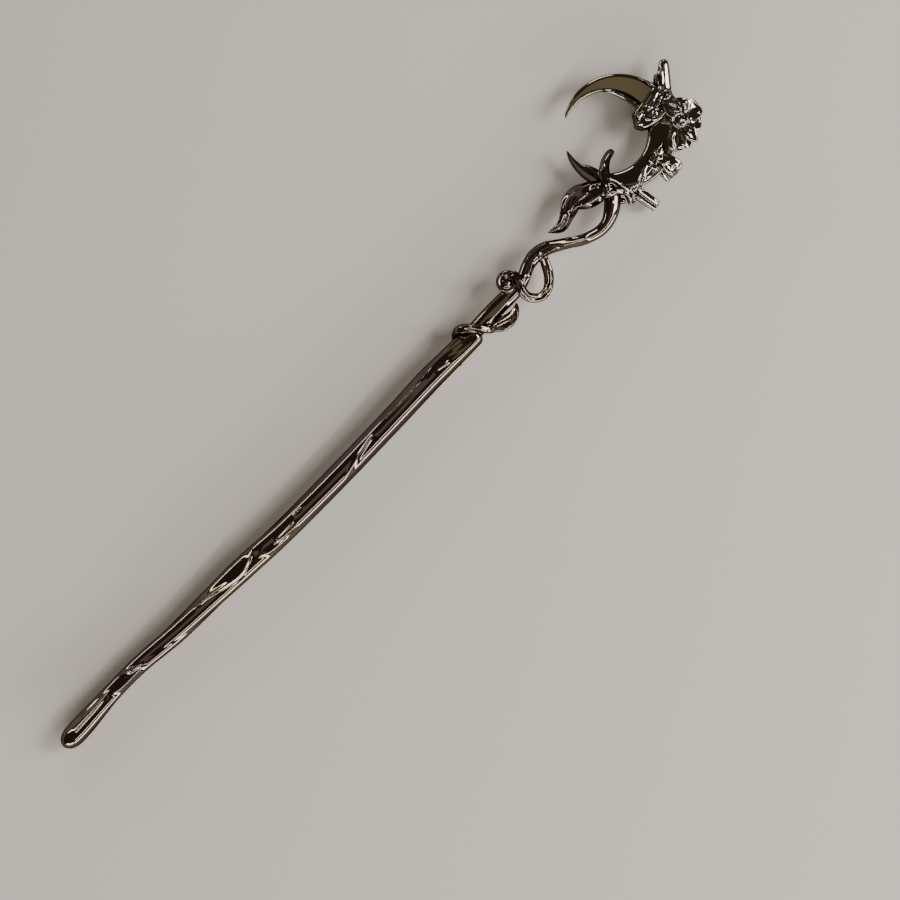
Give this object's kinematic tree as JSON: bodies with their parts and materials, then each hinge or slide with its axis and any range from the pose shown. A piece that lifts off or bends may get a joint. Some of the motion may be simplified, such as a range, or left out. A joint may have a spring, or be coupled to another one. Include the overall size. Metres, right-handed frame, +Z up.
{
  "type": "hair stick",
  "caption": "Cast metal hair stick: a twisted shaft, a bound neck with a looped tendril, and a crescent wound with vines, leaves and a blossom.",
  "frame": {"origin": "middle of the length and breadth, on the surface that the stick lies on", "axes": "+X from the point to the head, +Y to the side that the crescent's horns rise to, +Z up through the blossom"},
  "size_m": [0.1751, 0.0264, 0.0071],
  "materials": {
    "metal": "polished black-nickel (gunmetal) plating"
  },
  "bodies": {
    "root": {"hair_stick": "metal"}
  },
  "joints": []
}
